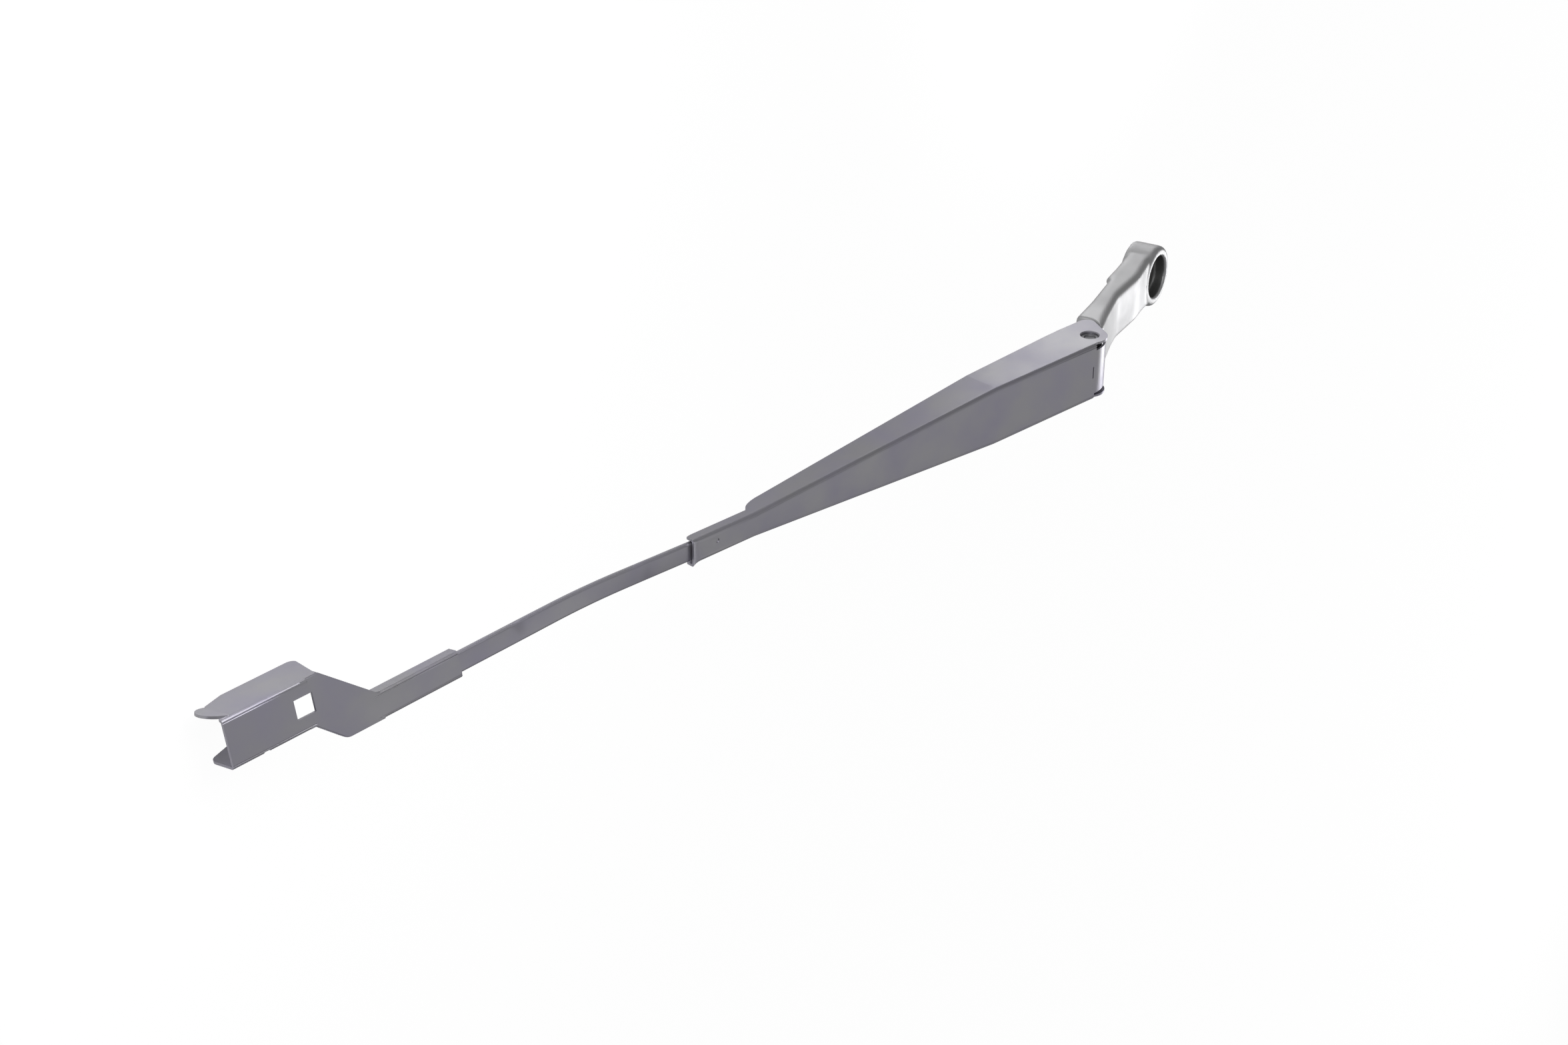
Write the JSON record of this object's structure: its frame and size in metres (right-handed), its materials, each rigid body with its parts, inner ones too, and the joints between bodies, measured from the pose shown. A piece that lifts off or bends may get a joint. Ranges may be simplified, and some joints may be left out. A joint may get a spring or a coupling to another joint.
{
  "type": "windscreen wiper arm",
  "caption": "Windscreen wiper arm with a cast mounting head, a spring-loaded folding hinge, a tapered channel, a flat bar and an offset end clip for the blade.",
  "frame": {"origin": "on the spindle axis at the under face of the mounting head, where it sits on the spindle", "axes": "+X from the spindle towards the blade, +Z along the spindle out of the car body, +Y to the side away from the blade channel's offset"},
  "size_m": [0.6522, 0.0444, 0.164],
  "materials": {
    "cast_paint": "satin",
    "sheet_paint": "satin",
    "pin_steel": "satin",
    "spring_steel": "satin",
    "bush": "matte"
  },
  "bodies": {
    "head": {"mounting_head": "cast_paint", "hinge_bush_left": "bush", "hinge_bush_right": "bush", "spring_pin": "pin_steel"},
    "arm": {"retainer_channel": "sheet_paint", "hinge_pin": "pin_steel", "flat_bar": "sheet_paint", "end_clip": "sheet_paint", "tension_spring": "spring_steel"},
    "link": {"spring_link": "pin_steel"}
  },
  "joints": [
    {"name": "hinge", "type": "hinge", "parent": "head", "child": "arm", "pos_m": [0.12, 0, 0.028], "axis": [0, -1, 0], "range_deg": [0, 65], "deforming": ["tension_spring"]},
    {"name": "link_pivot", "type": "hinge", "parent": "head", "child": "link", "pos_m": [0.11904, 0, 0.01704], "axis": [0, -1, 0], "range_deg": [0, 64]}
  ],
  "couplings": [
    {"joint": "link_pivot", "follows": "hinge", "ratio": 0.975}
  ]
}
